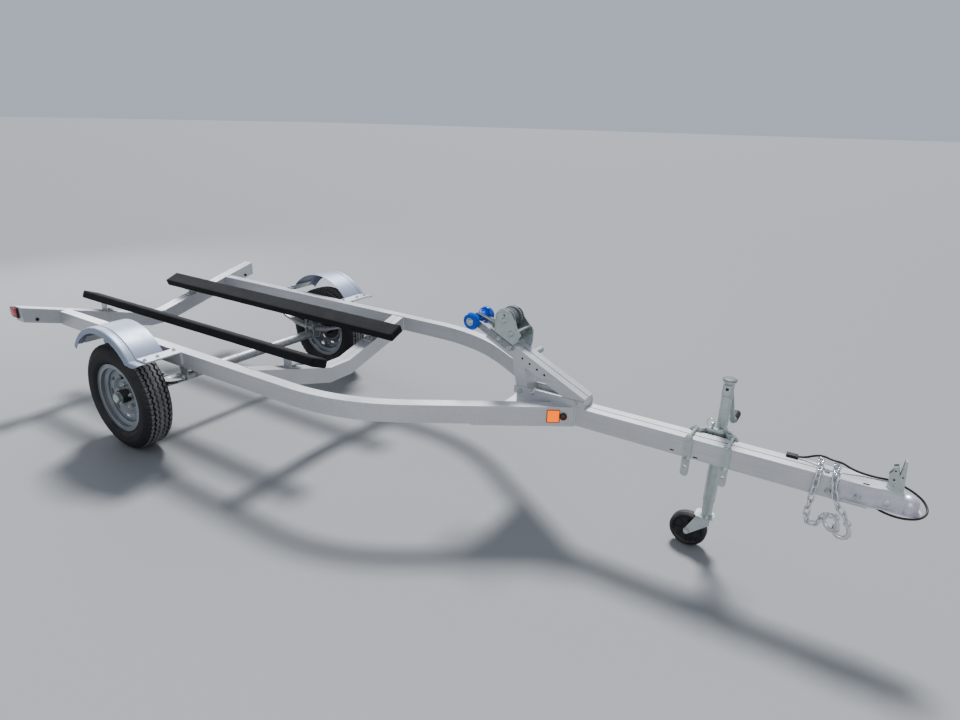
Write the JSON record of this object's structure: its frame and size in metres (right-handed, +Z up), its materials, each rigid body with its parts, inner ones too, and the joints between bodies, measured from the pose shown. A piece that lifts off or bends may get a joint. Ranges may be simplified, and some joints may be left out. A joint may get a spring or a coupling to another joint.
{
  "type": "boat trailer",
  "caption": "Single-axle boat trailer with two carpeted bunks, rolled fenders, sloping winch post with bow roller, swing-up wheel jack, coupler, chains and wiring cord.",
  "frame": {"origin": "on the floor under the middle of the trailer's length and width, free cord and plug left out", "axes": "+X forward to the coupler, +Y to the trailer's left, +Z up"},
  "size_m": [4.2499, 1.53, 0.8539],
  "materials": {
    "aluminium": "mill-finish extrusion, satin",
    "fender_aluminium": "rolled sheet, satin",
    "galvanised": "hot-dip galvanised",
    "zinc_plate": "zinc plated",
    "coupler_zinc": "zinc plated pressing",
    "wheel_paint": "galvanised steel wheel, satin",
    "tyre_rubber": "matte",
    "roller_blue": "glossy blue urethane",
    "strap_webbing": "woven webbing",
    "bunk_carpet": "ribbed marine carpet",
    "caster_plastic": "moulded black",
    "lamp_red": "red lens in a black housing",
    "side_amber": "orange reflector and dark round marker",
    "cord_black": "black jacket"
  },
  "bodies": {
    "frame": {"axle": "galvanised", "bunk_brackets": "aluminium", "bunk_left": "bunk_carpet", "bunk_right": "bunk_carpet", "coupler": "coupler_zinc", "coupler_latch": "zinc_plate", "cross_member_front": "aluminium", "cross_member_rear": "aluminium", "fender_brackets": "aluminium", "fender_left": "fender_aluminium", "fender_right": "fender_aluminium", "jack_mount": "zinc_plate", "leaf_spring_left": "galvanised", "leaf_spring_right": "galvanised", "mast": "aluminium", "mast_base": "aluminium", "mast_strut": "aluminium", "rail_left": "aluminium", "rail_right": "aluminium", "roller_bracket": "galvanised", "safety_chain_front": "zinc_plate", "safety_chain_rear": "zinc_plate", "side_lights": "side_amber", "spring_clamps": "galvanised", "spring_hangers": "galvanised", "tail_lamp_left": "lamp_red", "tail_lamp_right": "lamp_red", "tongue": "aluminium", "tongue_gusset": "aluminium", "winch_frame": "zinc_plate", "winch_strap": "strap_webbing", "wiring_cord": "cord_black", "wiring_plug": "cord_black"},
    "wheel_left": {"hub_left": "galvanised", "dust_cap_left": "zinc_plate", "rim_left": "wheel_paint", "tyre_left": "tyre_rubber"},
    "wheel_right": {"hub_right": "galvanised", "dust_cap_right": "zinc_plate", "rim_right": "wheel_paint", "tyre_right": "tyre_rubber"},
    "jack": {"jack_tube": "zinc_plate", "jack_crank": "zinc_plate"},
    "jack_ram": {"jack_ram": "zinc_plate"},
    "caster_fork": {"caster_fork": "zinc_plate"},
    "caster_wheel": {"caster_wheel": "caster_plastic"},
    "winch_drum": {"winch_drum": "zinc_plate", "winch_strap_roll": "strap_webbing"},
    "winch_crank": {"winch_crank": "zinc_plate"},
    "bow_roller": {"bow_roller": "roller_blue"}
  },
  "joints": [
    {"name": "wheel_left_spin", "type": "hinge", "parent": "frame", "child": "wheel_left", "pos_m": [-1.086, 0.665, 0.265], "axis": [0, 1, 0], "continuous": true},
    {"name": "wheel_right_spin", "type": "hinge", "parent": "frame", "child": "wheel_right", "pos_m": [-1.086, -0.665, 0.265], "axis": [0, 1, 0], "continuous": true},
    {"name": "jack_swing", "type": "hinge", "parent": "frame", "child": "jack", "pos_m": [1.489, 0.066, 0.478], "axis": [0, -1, 0], "range_deg": [0, 90]},
    {"name": "jack_lift", "type": "slide", "parent": "jack", "child": "jack_ram", "axis": [0, 0, -1], "range_m": [-0.058, 0.2]},
    {"name": "caster_swivel", "type": "hinge", "parent": "jack_ram", "child": "caster_fork", "pos_m": [1.489, 0.1, 0.2], "axis": [0, 0, 1], "continuous": true},
    {"name": "caster_spin", "type": "hinge", "parent": "caster_fork", "child": "caster_wheel", "pos_m": [1.431, 0.1, 0.071], "axis": [0, 1, 0], "continuous": true},
    {"name": "winch_crank_turn", "type": "hinge", "parent": "frame", "child": "winch_crank", "pos_m": [0.6715, 0, 0.7595], "axis": [0, 1, 0], "continuous": true},
    {"name": "winch_drum_turn", "type": "hinge", "parent": "frame", "child": "winch_drum", "pos_m": [0.63607, 0, 0.80792], "axis": [0, 1, 0], "continuous": true},
    {"name": "bow_roller_spin", "type": "hinge", "parent": "frame", "child": "bow_roller", "pos_m": [0.494, 0, 0.783], "axis": [0, 1, 0], "continuous": true}
  ],
  "couplings": [
    {"joint": "winch_drum_turn", "follows": "winch_crank_turn", "ratio": -0.42857}
  ]
}
